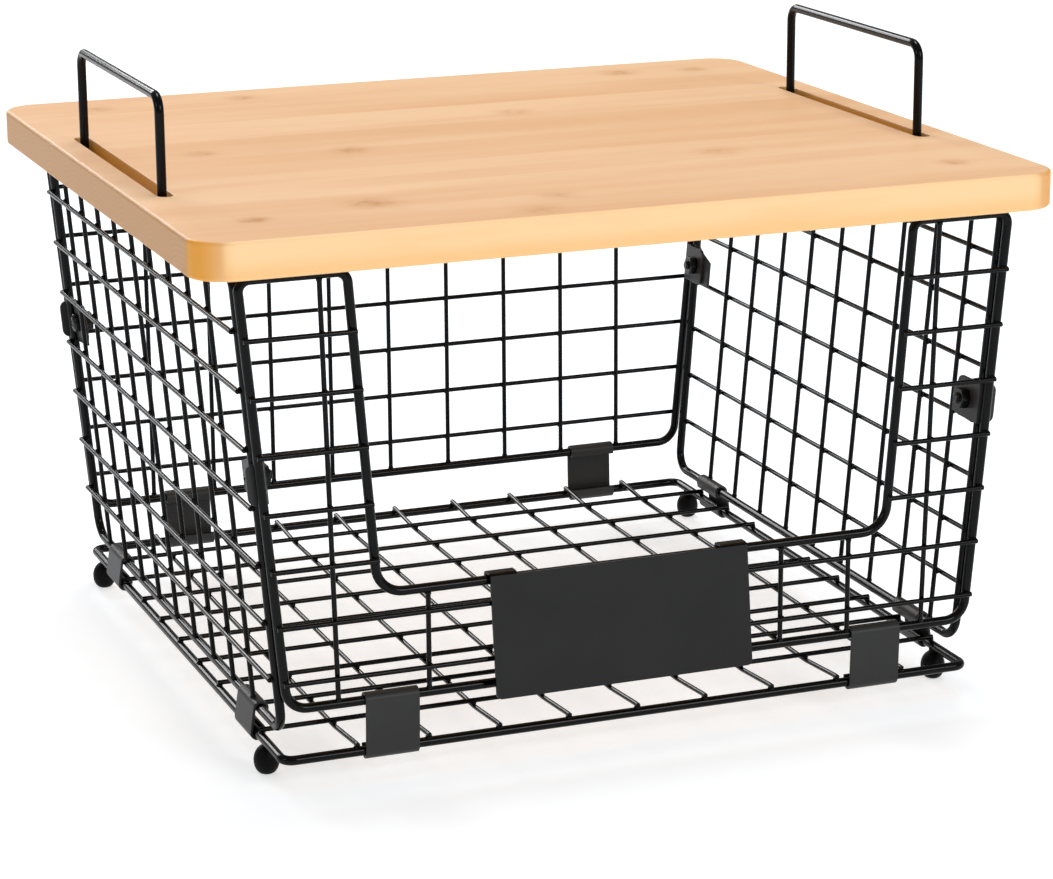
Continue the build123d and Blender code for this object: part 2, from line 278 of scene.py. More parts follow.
@dataclass(frozen=True)
class Rubber:
    """Matt black moulded rubber."""

    name: str = "foot_rubber"
    grey: float = 0.0025
    dark: float = 0.8
    pale: float = 1.5
    roughness: float = 0.5
    gloss: float = 0.08
    cloud: Noise = Noise(160.0, 3.0)
    grit: Noise = Noise(2500.0)
    grit_depth: float = 0.00002

    def material(self) -> bpy.types.Material:
        """Build the material.

        Returns:
            The finished material.
        """
        nodes = NodeTree(self.name)
        cloud = nodes.noise(nodes.place, self.cloud)
        dark, pale = grey_tone(self.grey, self.dark), grey_tone(self.grey, self.pale)
        nodes.wire(nodes.mix(cloud, dark, pale), "Base Color")
        nodes.constant("Roughness", self.roughness)
        nodes.constant("Specular IOR Level", self.gloss)
        nodes.bump(nodes.noise(nodes.place, self.grit), self.grit_depth)
        return nodes.material


@dataclass(frozen=True)
class Knot:
    """One small knot: its place on the board, its half length and how dark it is."""

    x: float
    y: float
    reach: float
    dark: float


KNOTS = (
    Knot(-0.1253, 0.1204, 0.010, 0.408),
    Knot(-0.0648, 0.1226, 0.009, 0.432),
    Knot(-0.1150, 0.0111, 0.009, 0.480),
    Knot(-0.1309, -0.1115, 0.007, 0.780),
    Knot(-0.0609, -0.0033, 0.010, 0.504),
    Knot(-0.0858, -0.0997, 0.013, 0.552),
    Knot(0.0239, 0.0488, 0.011, 0.312),
    Knot(-0.0219, -0.1118, 0.010, 0.360),
    Knot(-0.0358, -0.1320, 0.012, 0.312),
    Knot(0.0987, 0.1200, 0.010, 0.528),
    Knot(0.1315, 0.1172, 0.008, 0.480),
    Knot(0.0636, -0.0587, 0.012, 0.312),
    Knot(0.1326, -0.1116, 0.008, 0.480),
)


@dataclass(frozen=True)
class BoardWood:
    """Lacquered pale wood, glued from staves that run from left to right, with small soft knots.

    The board's half sizes say where its end grain, its long edges and its rounded corners are.
    """

    name: str = "board_wood"
    roughness: float = 0.45
    gloss: float = 0.3

    pale: Colour = (0.84, 0.54, 0.31, 1.0)
    warm: Colour = (0.77, 0.44, 0.225, 1.0)
    line: Colour = (0.55, 0.29, 0.12, 1.0)
    heart: Colour = (0.50, 0.21, 0.05, 1.0)
    # Painted light: the long edges' colour is lighter than the top's, standing in for the light that
    # falls on the front edge; lower down it turns darker and warmer.
    edge: Colour = (0.97, 0.65, 0.34, 1.0)
    edge_low: Colour = (0.93, 0.53, 0.21, 1.0)
    end_pale: Colour = (0.50, 0.245, 0.07, 1.0)
    end_dark: Colour = (0.40, 0.18, 0.05, 1.0)
    # Painted shade: the curve of each rounded corner is mixed towards this darker orange.
    corner: Colour = (0.79, 0.35, 0.04, 1.0)
    slot_wall: Colour = (0.68, 0.34, 0.06, 1.0)
    stave_tint: Colour = (0.97, 0.955, 0.925, 1.0)

    half_width: float = 0.160
    half_depth: float = 0.143
    top: float = 0.1976
    corner_round: float = 0.014
    slot_x: float = 0.14705
    slot_half: float = 0.0033
    slot_reach: float = 0.0625
    edge_start: float = 0.0013
    corner_start: float = 0.0015
    edge_end: float = 0.0004

    stave_width: float = 0.036
    stretch: float = 9.0
    rise: float = 0.6
    cloud: Noise = Noise(30.0, 3.0, 0.55)
    grain: Noise = Noise(170.0, 4.0, 0.6)
    fibre: Noise = Noise(900.0)
    cloud_band: Band = Band(0.35, 0.7)
    grain_band: Band = Band(0.5, 0.75, 0.10)
    fibre_band: Band = Band(0.5, 0.8, 0.06)
    relief_share: float = 0.5
    relief: float = 0.00004

    low_band: Band = Band(0.005, 0.0125, 0.75)
    edge_grain_band: Band = Band(0.45, 0.7, 0.3)
    corner_x_band: Band = Band(0.0, 0.0125)
    corner_y_band: Band = Band(0.0, 0.004)
    slot_band: Band = Band(0.0002, 0.0012)

    ring: float = 0.0019
    pith_drop: float = 0.03
    wobble: Noise = Noise(90.0)
    wobble_turns: float = 1.6
    ring_band: Band = Band(0.0, 1.0, 0.26)

    knots: tuple[Knot, ...] = KNOTS
    knot_length: float = 0.85
    knot_width: float = 0.78
    knot_rim: Noise = Noise(260.0, 3.0)
    raggedness: float = 1.5
    push: float = 0.3
    push_fade: float = -1.3
    stain_fade: float = -1.7
    darkest: float = 0.8

    def material(self) -> bpy.types.Material:
        """Build the material.

        Returns:
            The finished material.
        """
        nodes = NodeTree(self.name)
        x, y, z = nodes.add("ShaderNodeSeparateXYZ", {"Vector": nodes.place}).outputs
        warp, stain = self._knot_fields(nodes, x, y)
        stave = {"W": nodes.math("FLOOR", nodes.over(y, self.stave_width))}
        luck = nodes.add("ShaderNodeTexWhiteNoise", stave, noise_dimensions="1D").outputs["Value"]
        bent = {
            "X": nodes.plus(nodes.over(x, self.stretch), luck),
            "Y": nodes.plus(y, warp),
            "Z": nodes.times(z, self.rise),
        }
        where = nodes.add("ShaderNodeCombineXYZ", bent).outputs[0]
        cloud = nodes.noise(where, self.cloud)
        grain = nodes.noise(where, self.grain)
        fibre = nodes.noise(where, self.fibre)

        tone = nodes.mix(nodes.ramp(cloud, self.cloud_band), self.pale, self.warm)
        tone = nodes.mix(1.0, tone, nodes.mix(luck, WHITE, self.stave_tint), "MULTIPLY")
        tone = nodes.mix(nodes.ramp(grain, self.grain_band), tone, self.line)
        tone = nodes.mix(nodes.ramp(fibre, self.fibre_band), tone, self.line)
        tone = nodes.mix(stain, tone, self.heart)
        tone = self._lit_long_edges(nodes, (x, y, z), grain, tone)
        tone = self._end_grain(nodes, (x, y, z), luck, tone)
        tone = self._shaded_corners(nodes, (x, y, z), tone)
        tone = self._slot_walls(nodes, (x, y, z), tone)

        nodes.wire(tone, "Base Color")
        nodes.constant("Roughness", self.roughness)
        nodes.constant("Specular IOR Level", self.gloss)
        nodes.bump(nodes.times(nodes.plus(grain, fibre), self.relief_share), self.relief)
        return nodes.material

    def _at_edge(self, nodes: NodeTree, value: Socket, half: float) -> Socket:
        """Find where a coordinate is at the board's edge, from 0 to 1."""
        return nodes.ramp(nodes.away(value), Band(half - self.edge_start, half - self.edge_end))

    def _lit_long_edges(self, nodes: NodeTree, axes: Axes, grain: Socket, tone: Socket) -> Socket:
        """Colour the board's front and back edge with painted light: lighter than the top, and
        warmer towards the bottom.

        Args:
            nodes: The tree to add to.
            axes: The three coordinates.
            grain: The fine grain.
            tone: The colour so far.

        Returns:
            The colour with the long edges.
        """
        low = nodes.ramp(nodes.minus(self.top, axes[2]), self.low_band)
        # The edge colour is painted light, lighter than the top.
        edge = nodes.mix(low, self.edge, self.edge_low)
        edge = nodes.mix(nodes.ramp(grain, self.edge_grain_band), edge, self.edge_low)
        return nodes.mix(self._at_edge(nodes, axes[1], self.half_depth), tone, edge)

    def _end_grain(self, nodes: NodeTree, axes: Axes, luck: Socket, tone: Socket) -> Socket:
        """Colour the board's ends, where each stave shows rings round its own pith.

        Args:
            nodes: The tree to add to.
            axes: The three coordinates.
            luck: A random share per stave.
            tone: The colour so far.

        Returns:
            The colour with the end grain.
        """
        in_stave = nodes.math("FRACT", nodes.over(axes[1], self.stave_width))
        off_y = nodes.times(nodes.minus(in_stave, 0.5), self.stave_width)
        pith = nodes.minus(self.top - self.pith_drop, nodes.times(luck, self.pith_drop))
        off_z = nodes.minus(axes[2], pith)
        turns = nodes.over(nodes.span(off_y, off_z), self.ring)
        wobble = nodes.times(nodes.noise(nodes.place, self.wobble), self.wobble_turns)
        rings = nodes.math("SINE", nodes.times(nodes.plus(turns, wobble), math.tau))
        end = nodes.mix(nodes.ramp(rings, self.ring_band), self.end_pale, self.end_dark)
        return nodes.mix(self._at_edge(nodes, axes[0], self.half_width), tone, end)

    def _shaded_corners(self, nodes: NodeTree, axes: Axes, tone: Socket) -> Socket:
        """Paint shade on the board's rounded corners, mixing their curve towards a darker orange.

        Args:
            nodes: The tree to add to.
            axes: The three coordinates.
            tone: The colour so far.

        Returns:
            The colour with the corners.
        """
        past_x, past_y = (
            nodes.math("MAXIMUM", nodes.minus(nodes.away(value), half - self.corner_round), 0.0)
            for value, half in ((axes[0], self.half_width), (axes[1], self.half_depth))
        )
        band = Band(self.corner_round - self.corner_start, self.corner_round - self.edge_end)
        rim = nodes.ramp(nodes.span(past_x, past_y), band)
        bend = nodes.times(
            nodes.ramp(past_x, self.corner_x_band), nodes.ramp(past_y, self.corner_y_band)
        )
        # Painted shade: the corner's curve is mixed towards a darker orange.
        return nodes.mix(nodes.times(bend, rim), tone, self.corner)

    def _slot_walls(self, nodes: NodeTree, axes: Axes, tone: Socket) -> Socket:
        """Colour the walls of the two slots.

        Args:
            nodes: The tree to add to.
            axes: The three coordinates.
            tone: The colour so far.

        Returns:
            The colour with the slots' walls.
        """
        off_slot = nodes.away(nodes.minus(nodes.away(axes[0]), self.slot_x))
        in_width = nodes.math("LESS_THAN", off_slot, self.slot_half)
        in_length = nodes.math("LESS_THAN", nodes.away(axes[1]), self.slot_reach)
        below = nodes.ramp(nodes.minus(self.top, axes[2]), self.slot_band)
        wall = nodes.times(nodes.times(in_width, in_length), below)
        return nodes.mix(wall, tone, self.slot_wall)

    def _knot_fields(self, nodes: NodeTree, x: Socket, y: Socket) -> tuple[Value, Value]:
        """Work out how the knots push the grain aside and how they darken it.

        Args:
            nodes: The tree to add to.
            x: Place along the board.
            y: Place across it.

        Returns:
            The grain's sideways shift in metres, and the knots' darkness from 0 to 1.
        """
        warp: Value = 0.0
        shade: Value = 0.0
        rim = nodes.minus(nodes.noise(nodes.place, self.knot_rim), 0.5)
        ragged = nodes.times(rim, self.raggedness)
        for knot in self.knots:
            off_x = nodes.over(nodes.minus(x, knot.x), knot.reach * self.knot_length)
            off_y = nodes.over(nodes.minus(y, knot.y), knot.reach * self.knot_width)
            far = nodes.plus(nodes.times(off_x, off_x), nodes.times(off_y, off_y))
            near = nodes.math("EXPONENT", nodes.times(far, self.push_fade))
            push = nodes.times(nodes.times(near, off_y), knot.reach * self.push)
            warp = nodes.minus(warp, push)
            stain = nodes.math("EXPONENT", nodes.times(nodes.plus(far, ragged), self.stain_fade))
            shade = nodes.plus(shade, nodes.times(stain, knot.dark))
        return warp, nodes.math("MINIMUM", shade, self.darkest)


@dataclass(frozen=True)
class Wire:
    """Centre line of one straight wire."""

    start: Vector
    end: Vector

    @property
    def line(self) -> Vector:
        """Direction from the start to the end."""
        return (self.end - self.start).normalized()

    def nearest(self, other: "Wire") -> tuple[Vector, Vector] | None:
        """Find where two wires cross.

        Args:
            other: The wire that may cross this one.

        Returns:
            The nearest points of the two centre lines, or None where one wire doesn't reach the
            other.
        """
        found = intersect_line_line(self.start, self.end, other.start, other.end)
        if found is None:
            return None
        for wire, point in zip((self, other), found):
            share = (point - wire.start).dot(wire.line)
            if not 0.0 < share < (wire.end - wire.start).length:
                return None
        return found


@dataclass
class Bench:
    """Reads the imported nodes, gives them their finishes, and makes pieces of finished shapes."""

    nodes: dict[str, bpy.types.Object]
    finishes: dict[Slot, bpy.types.Material]
    slots: dict[str, str]
    smooth_angle: float = math.radians(35.0)
    flat_angle: float = math.radians(0.6)
    sharp_angle: float = math.radians(50.0)
    merge_gap: float = 1e-6

    def copy(self, node: str) -> bmesh.types.BMesh:
        """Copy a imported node's mesh and merge its loose triangles.

        Args:
            node: The node's name.

        Returns:
            The copy.
        """
        shape = bmesh.new()
        shape.from_mesh(self.nodes[node].data)
        bmesh.ops.remove_doubles(shape, verts=shape.verts, dist=self.merge_gap)
        return shape

    def softened(self, node: str, edge: float, steps: int) -> bmesh.types.BMesh:
        """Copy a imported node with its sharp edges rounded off.

        Args:
            node: The node's name.
            edge: Width of the rounding.
            steps: Faces across it.

        Returns:
            The softened copy.
        """
        shape = self.copy(node)
        bmesh.ops.dissolve_limit(
            shape,
            angle_limit=self.flat_angle,
            use_dissolve_boundaries=False,
            verts=shape.verts,
            edges=shape.edges,
        )
        sharp = [
            line
            for line in shape.edges
            if line.is_manifold and line.calc_face_angle() > self.sharp_angle
        ]
        bmesh.ops.bevel(
            shape,
            geom=sharp,
            offset=edge,
            offset_type="OFFSET",
            affect="EDGES",
            segments=steps,
            profile=0.5,
            material=-1,
            clamp_overlap=True,
        )
        return shape

    def wires(self, node: str) -> list[Wire]:
        """Read the centre lines of the separate straight wires in a node.

        Args:
            node: The node's name.

        Returns:
            One wire for each separate solid.
        """
        shape = self.copy(node)
        found, seen = [], set()
        for first in shape.verts:
            if first in seen:
                continue
            seen.add(first)
            island, front = [], [first]
            while front:
                island.append(front.pop())
                fresh = dict.fromkeys(line.other_vert(island[-1]) for line in island[-1].link_edges)
                front += [vert for vert in fresh if vert not in seen]
                seen.update(fresh)
            lines = [line for vert in island for line in vert.link_edges]
            longest = max(lines, key=lambda line: line.calc_length())
            along = (longest.verts[1].co - longest.verts[0].co).normalized()
            places = [vert.co.dot(along) for vert in island]
            ends = []
            for limit in (min(places), max(places)):
                rim = [v.co for v in island if abs(v.co.dot(along) - limit) < THIN_WIRE]
                middle = sum(rim, Vector()) / len(rim)
                ends.append(middle + along * (limit - middle.dot(along)))
            found.append(Wire(*ends))
        shape.free()
        return found

    def add(
        self, name: str, shape: bmesh.types.BMesh, slot: Slot, body: Body, *replaced: str
    ) -> bpy.types.Object:
        """Make a piece from a finished shape.

        Args:
            name: The piece's name.
            shape: Its shape, which is freed.
            slot: The record's material slot that it takes its finish from.
            body: The body that it rides on.
            replaced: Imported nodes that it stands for.

        Returns:
            The piece.
        """
        mesh = bpy.data.meshes.new(name)
        shape.to_mesh(mesh)
        shape.free()
        mesh.polygons.foreach_set("use_smooth", [True] * len(mesh.polygons))
        mesh.set_sharp_from_angle(angle=self.smooth_angle)
        mesh.materials.append(self.finishes[slot])
        piece = bpy.data.objects.new(name, mesh)
        bpy.context.scene.collection.objects.link(piece)
        piece.modifiers.new("even_normals", "WEIGHTED_NORMAL").keep_sharp = True
        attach(piece, body.value)
        if replaced:
            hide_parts(*replaced)
        log.info("piece %s: %d faces on %s", name, len(mesh.polygons), body.value)
        return piece

    def dress(self) -> None:
        """Put its own slot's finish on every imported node."""
        for name, piece in self.nodes.items():
            finish = self.finishes[Slot(self.slots[name])]
            piece.data.materials.clear()
            piece.data.materials.append(finish)
            log.info("node %s: %s", name, finish.name)


def add_bead(shape: bmesh.types.BMesh, centre: Vector, axis: Vector, size: Pair) -> None:
    """Add one bead of weld, a flattened ball.

    Args:
        shape: The shape to add to.
        centre: Its middle.
        axis: Direction that it is flattened along.
        size: Its radius across the axis and along it.
    """
    turn = axis.to_track_quat("Z", "Y").to_matrix().to_4x4()
    stretch = Matrix.Diagonal((size[0], size[0], size[1], 1.0))
    bmesh.ops.create_uvsphere(
        shape,
        u_segments=BEAD_SIDES,
        v_segments=BEAD_RINGS,
        radius=1.0,
        matrix=Matrix.Translation(centre) @ turn @ stretch,
    )


def lathe(outline: tuple[Pair, ...]) -> bmesh.types.BMesh:
    """Spin an outline of radius and height round the Z axis.

    Args:
        outline: Its points, from the lowest to the highest.

    Returns:
        A closed shape.
    """
    shape = bmesh.new()
    points = [shape.verts.new((radius, 0.0, height)) for radius, height in outline]
    lines = [shape.edges.new(pair) for pair in zip(points, points[1:])]
    bmesh.ops.spin(
        shape,
        geom=points + lines,
        axis=(0, 0, 1),
        cent=(0, 0, 0),
        angle=math.tau,
        steps=SPIN_STEPS,
        use_merge=True,
    )
    bmesh.ops.remove_doubles(shape, verts=shape.verts, dist=1e-7)
    bmesh.ops.recalc_face_normals(shape, faces=shape.faces)
    return shape


@dataclass
class SheetParts:
    """Clips, corner plates, brackets and the name plate, with the soft edges of coated sheet.

    The name plate's broad faces are matt, and its edges and hooks get the wires' darker coating as
    painted shade.
    """

    bench: Bench
    edge: float = 0.00022
    steps: int = 2
    ends: tuple[str, ...] = ("_clip", "_plate", "_bracket")
    label: str = "name_plate"
    label_lean: float = math.radians(7.4)
    label_top: float = 0.0709
    broad: float = 0.9

    def build(self) -> None:
        """Build every piece of sheet."""
        for node in sorted(self.bench.nodes):
            if node.endswith(self.ends):
                shape = self.bench.softened(node, self.edge, self.steps)
                is_label = node == self.label
                slot = Slot.PLATE if is_label else Slot.SHEET
                body = Body.LABEL if is_label else Body.BASKET
                piece = self.bench.add(f"pressed_{node}", shape, slot, body, node)
                if is_label:
                    self.paint_edge_shade(piece.data)

    def paint_edge_shade(self, mesh: bpy.types.Mesh) -> None:
        """Paint shade on the name plate's edges and hooks by giving them the wires' darker coating.

        Args:
            mesh: The name plate's mesh.
        """
        mesh.materials.append(self.bench.finishes[Slot.WIRE])
        outward = Vector((0.0, -math.cos(self.label_lean), math.sin(self.label_lean)))
        for face in mesh.polygons:
            is_broad = abs(face.normal.dot(outward)) > self.broad
            # Painted shade: every face but the broad ones below the hooks takes the darker coating.
            face.material_index = 0 if is_broad and face.center.z < self.label_top else 1


@dataclass
class LidBoard:
    """The wooden board, with the rims of its two slots broken by a small round."""

    bench: Bench
    rim: float = 0.0006
    steps: int = 3

    def build(self) -> None:
        """Build the board."""
        shape = self.bench.softened("lid_board", self.rim, self.steps)
        self.bench.add("board", shape, Slot.WOOD, Body.LID, "lid_board")


@dataclass
class DepthWires:
    """Depth wires of the base grid, which run under the width wires and slope up onto the frame."""

    bench: Bench
    drop: float = 0.00185
    landing: float = 0.1303
    crossing: float = 0.1068
    sides: int = 16

    def tube(self, shape: bmesh.types.BMesh, points: list[Vector]) -> None:
        """Add a round wire along points that lie nearly in line.

        Args:
            shape: The shape to add to.
            points: The wire's middle, from one end to the other.
        """
        place = Matrix.Translation(points[0]) @ Matrix.Rotation(math.pi / 2, 4, "X")
        ring = bmesh.ops.create_circle(
            shape, cap_ends=True, segments=self.sides, radius=THIN_WIRE, matrix=place
        )
        loop = list(dict.fromkeys(line for vert in ring["verts"] for line in vert.link_edges))
        for before, after in zip(points, points[1:]):
            made = bmesh.ops.extrude_edge_only(shape, edges=loop)["geom"]
            verts = [item for item in made if isinstance(item, bmesh.types.BMVert)]
            bmesh.ops.translate(shape, verts=verts, vec=after - before)
            lines = [item for item in made if isinstance(item, bmesh.types.BMEdge)]
            loop = [line for line in lines if set(verts).issuperset(line.verts)]
        bmesh.ops.edgeloop_fill(shape, edges=loop)

    def build(self) -> None:
        """Build the wires."""
        shape = bmesh.new()
        for wire in self.bench.wires("base_depth_wires"):
            front, back = sorted((wire.start, wire.end), key=lambda point: point.y)
            level = front.z
            route = (
                (front.y, level),
                (max(front.y + THIN_WIRE, -self.landing), level),
                (-self.crossing, level - self.drop),
                (self.crossing, level - self.drop),
                (min(back.y - THIN_WIRE, self.landing), level),
                (back.y, level),
            )
            self.tube(shape, [Vector((front.x, y, z)) for y, z in route])
        bmesh.ops.recalc_face_normals(shape, faces=shape.faces)
        self.bench.add("base_grid_depth", shape, Slot.WIRE, Body.BASKET, "base_depth_wires")


@dataclass
class WeldBeads:
    """Small beads of weld where grid wires cross, and where they end on the outline wires.

    Each panel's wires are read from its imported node, so a bead always sits on its crossing.
    """

    bench: Bench
    spread: float = 0.00135
    height: float = 0.0008
    crossing_sizes: Pair = (0.92, 1.08)
    end_sizes: Pair = (0.95, 1.1)
    end_reach: float = 0.0008
    tip_share: float = 0.25
    collar: float = 0.0012
    collar_share: float = 0.9
    touch_limit: float = 0.0022
    upright_rise: float = 0.5
    seed: int = 11

    def touch(
        self, shape: bmesh.types.BMesh, place: Vector, outward: Vector, scale: float = 1.0
    ) -> None:
        """Add the flat bead between two wires that touch."""
        add_bead(shape, place, outward, (self.spread * scale, self.height * scale))

    def panel(self, node: str) -> bmesh.types.BMesh:
        """Build the beads of one panel's grid.

        Args:
            node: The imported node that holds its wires.

        Returns:
            The beads.
        """
        shape = bmesh.new()
        luck = random.Random(self.seed + len(node))
        wires = self.bench.wires(node)
        rows = [wire for wire in wires if abs(wire.line.z) < self.upright_rise]
        uprights = [wire for wire in wires if abs(wire.line.z) >= self.upright_rise]
        outward = rows[0].line.cross(uprights[0].line).normalized()
        middle = (rows[0].start + rows[0].end) / 2
        outward *= math.copysign(1.0, outward.dot(Vector((middle.x, middle.y, 0.0))))
        contact = outward * (THIN_WIRE + WELD_GAP / 2)
        for row, upright in product(rows, uprights):
            crossing = row.nearest(upright)
            if crossing and (crossing[0] - crossing[1]).length < self.touch_limit:
                scale = luck.uniform(*self.crossing_sizes)
                self.touch(shape, crossing[0] - contact, outward, scale)
        for row in rows:
            for end, line in ((row.start, row.line), (row.end, -row.line)):
                place = end + line * self.end_reach - contact
                self.touch(shape, place, outward, luck.uniform(*self.end_sizes))
                add_bead(shape, end, line, (THIN_WIRE, THIN_WIRE * self.tip_share))
        for upright in uprights:
            for end in (upright.start, upright.end):
                add_bead(shape, end, upright.line, (self.collar, self.collar * self.collar_share))
        return shape

    def base(self) -> bmesh.types.BMesh:
        """Build the beads of the base grid, and of its wires on the base frame.

        Returns:
            The beads.
        """
        shape = bmesh.new()
        luck = random.Random(self.seed)
        low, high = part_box("base_frame")
        frame_middle = high.x - (high.z - low.z) / 2
        across = self.bench.wires("base_width_wires")
        deep = self.bench.wires("base_depth_wires")
        level = across[0].start.z - THIN_WIRE - WELD_GAP / 2
        up = Vector((0.0, 0.0, 1.0))
        for width, depth in product(across, deep):
            place = Vector((depth.start.x, width.start.y, level))
            self.touch(shape, place, up, luck.uniform(*self.crossing_sizes))
        for wire in across + deep:
            for end in (wire.start, wire.end):
                if max(abs(end.x), abs(end.y)) > frame_middle:
                    inward = (wire.start + wire.end) / 2 - end
                    inward.z = 0.0
                    place = end + inward.normalized() * self.end_reach
                    place.z = level
                    self.touch(shape, place, up)
        return shape

    def build(self) -> None:
        """Build the beads of every panel and of the base."""
        for node in sorted(self.bench.nodes):
            if node.endswith("_mesh"):
                name = f"{node.removesuffix('_mesh')}_welds"
                self.bench.add(name, self.panel(node), Slot.WIRE, Body.BASKET)
        self.bench.add("base_welds", self.base(), Slot.WIRE, Body.BASKET)


@dataclass
class Seams:
    """Runs of weld that hold the corner plates to their posts and the handles to the panels."""

    bench: Bench
    plate_bead: Pair = (0.0008, 0.0021)
    shares: tuple[float, ...] = (0.14, 0.5, 0.86)
    edge_band: float = 0.0004
    handle_bead: Pair = (0.0016, 0.0009)
    handle_drop: float = 0.006

    def plate_seam(self, shape: bmesh.types.BMesh, node: str) -> None:
        """Add the welds along a corner plate's edge on the post.

        Args:
            shape: The shape to add to.
            node: The plate's node.
        """
        plate = self.bench.copy(node)
        far = max(abs(vert.co.y) for vert in plate.verts) - self.edge_band
        rim = sorted((v.co for v in plate.verts if abs(v.co.y) > far), key=lambda point: point.z)
        foot, top = (rim[0] + rim[1]) / 2, (rim[-1] + rim[-2]) / 2
        line = top - foot
        for share in self.shares:
            add_bead(shape, foot + line * share, line, self.plate_bead)
        plate.free()

    def build(self) -> None:
        """Build the seams."""
        plates = bmesh.new()
        for node in sorted(self.bench.nodes):
            if node.endswith("_plate") and node != "name_plate":
                self.plate_seam(plates, node)
        self.bench.add("plate_seams", plates, Slot.SHEET, Body.BASKET)
        handles = bmesh.new()
        for side, sign in (("left", -1), ("right", 1)):
            low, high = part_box(f"{side}_handle")
            x = sign * (min(abs(low.x), abs(high.x)) - WELD_GAP / 2)
            for y in (low.y + FRAME_WIRE, high.y - FRAME_WIRE):
                place = Vector((x, y, low.z + self.handle_drop))
                add_bead(handles, place, Vector((1.0, 0.0, 0.0)), self.handle_bead)
        self.bench.add("handle_welds", handles, Slot.WIRE, Body.BASKET)


@dataclass
class Feet:
    """Moulded rubber feet, upright balls with a flat underside and a neck on the wire above."""

    bench: Bench
    flat: float = 0.0015
    ball: float = 0.0046
    belly: float = 0.0050
    crown: float = 0.0057
    neck: float = 0.0016
    steps: int = 9

    def outline(self, height: float) -> tuple[Pair, ...]:
        """Work out the foot's outline.

        Args:
            height: The foot's height.

        Returns:
            Points of radius and height, from the floor upwards.
        """
        points = [(0.0, 0.0), (self.flat, 0.0)]
        for step in range(1, self.steps + 1):
            turn = math.pi / 2 * step / self.steps
            radius = self.flat + (self.ball - self.flat) * math.sin(turn)
            points.append((radius, self.belly * (1 - math.cos(turn))))
        last = math.acos(self.neck / self.ball)
        for step in range(1, self.steps + 1):
            turn = last * step / self.steps
            points.append((self.ball * math.cos(turn), self.belly + self.crown * math.sin(turn)))
        return (*points, (self.neck, height), (0.0, height))

    def build(self) -> None:
        """Build the four feet."""
        for node in sorted(self.bench.nodes):
            if node.endswith("_foot"):
                low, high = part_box(node)
                shape = lathe(self.outline(high.z))
                middle = Vector(((low.x + high.x) / 2, (low.y + high.y) / 2, 0.0))
                bmesh.ops.translate(shape, verts=shape.verts, vec=middle)
                self.bench.add(f"rubber_{node}", shape, Slot.RUBBER, Body.BASKET, node)


